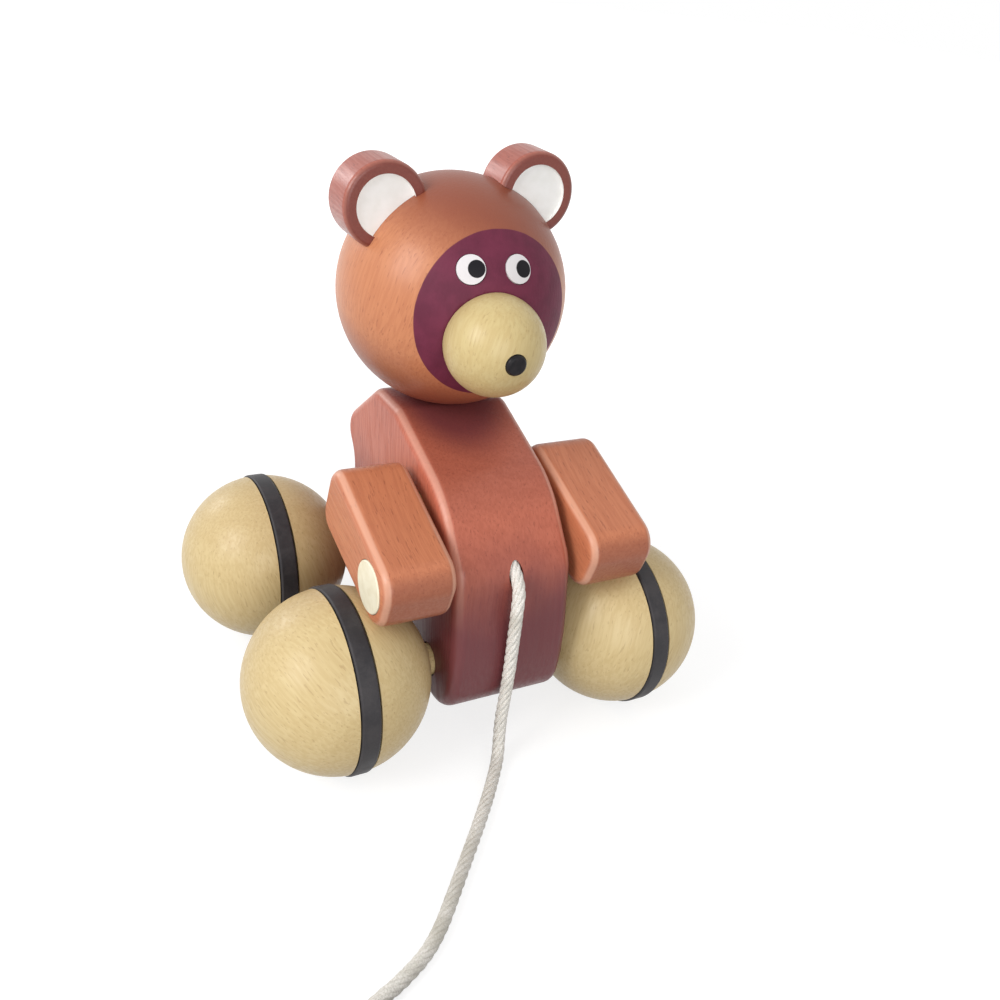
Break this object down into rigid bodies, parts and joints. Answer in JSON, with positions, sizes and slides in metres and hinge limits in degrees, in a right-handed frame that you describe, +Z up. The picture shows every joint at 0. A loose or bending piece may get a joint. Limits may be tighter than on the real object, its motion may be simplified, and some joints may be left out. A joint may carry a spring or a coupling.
{
  "type": "wooden rolling bear toy",
  "caption": "Pull-along wooden bear with a ball head and swinging arms, on rubber-banded ball wheels, with a cotton pull cord.",
  "frame": {"origin": "centre of the wheels' footprint on the floor, under the middle of the body", "axes": "+Z up, -Y the way the bear faces, +X towards the bear's own left side"},
  "size_m": [0.1466, 0.2051, 0.139],
  "materials": {
    "stained_wood": "gloss lacquer over reddish-brown stain",
    "natural_wood": "clear gloss lacquer",
    "dowel_wood": "bare dowel",
    "black_rubber": "matt",
    "white_paint": "gloss white paint",
    "black_paint": "gloss black paint",
    "cream_paint": "cream paint",
    "cotton_cord": "twisted cotton"
  },
  "bodies": {
    "trunk": {"body": "stained_wood", "pull_cord": "cotton_cord", "cord_coil": "cotton_cord", "pull_bead": "natural_wood", "cord_knot": "cotton_cord"},
    "front_wheels": {"front_axle": "dowel_wood", "front_left_wheel": "natural_wood", "front_right_wheel": "natural_wood", "front_left_band": "black_rubber", "front_right_band": "black_rubber"},
    "rear_wheels": {"rear_axle": "dowel_wood", "rear_left_wheel": "natural_wood", "rear_right_wheel": "natural_wood", "rear_left_band": "black_rubber", "rear_right_band": "black_rubber"},
    "arms": {"arm_dowel": "dowel_wood", "left_arm": "stained_wood", "right_arm": "stained_wood", "left_paw_plug": "cream_paint", "right_paw_plug": "cream_paint"},
    "head_group": {"head": "stained_wood", "neck_dowel": "dowel_wood", "muzzle": "natural_wood", "nose": "black_paint", "left_eye": "white_paint", "right_eye": "white_paint", "left_ear": "stained_wood", "right_ear": "stained_wood", "left_ear_pin": "dowel_wood", "right_ear_pin": "dowel_wood"}
  },
  "joints": [
    {"name": "front_wheels_roll", "type": "hinge", "parent": "trunk", "child": "front_wheels", "pos_m": [0, -0.029, 0.0228], "axis": [1, 0, 0], "continuous": true},
    {"name": "rear_wheels_roll", "type": "hinge", "parent": "trunk", "child": "rear_wheels", "pos_m": [0, 0.029, 0.0228], "axis": [1, 0, 0], "continuous": true},
    {"name": "arms_swing", "type": "hinge", "parent": "trunk", "child": "arms", "pos_m": [0, -0.0155, 0.059], "axis": [-1, 0, 0], "range_deg": [0, 250]},
    {"name": "head_turn", "type": "hinge", "parent": "trunk", "child": "head_group", "pos_m": [0, 0.008, 0.0775], "axis": [0, 0, 1], "continuous": true}
  ]
}
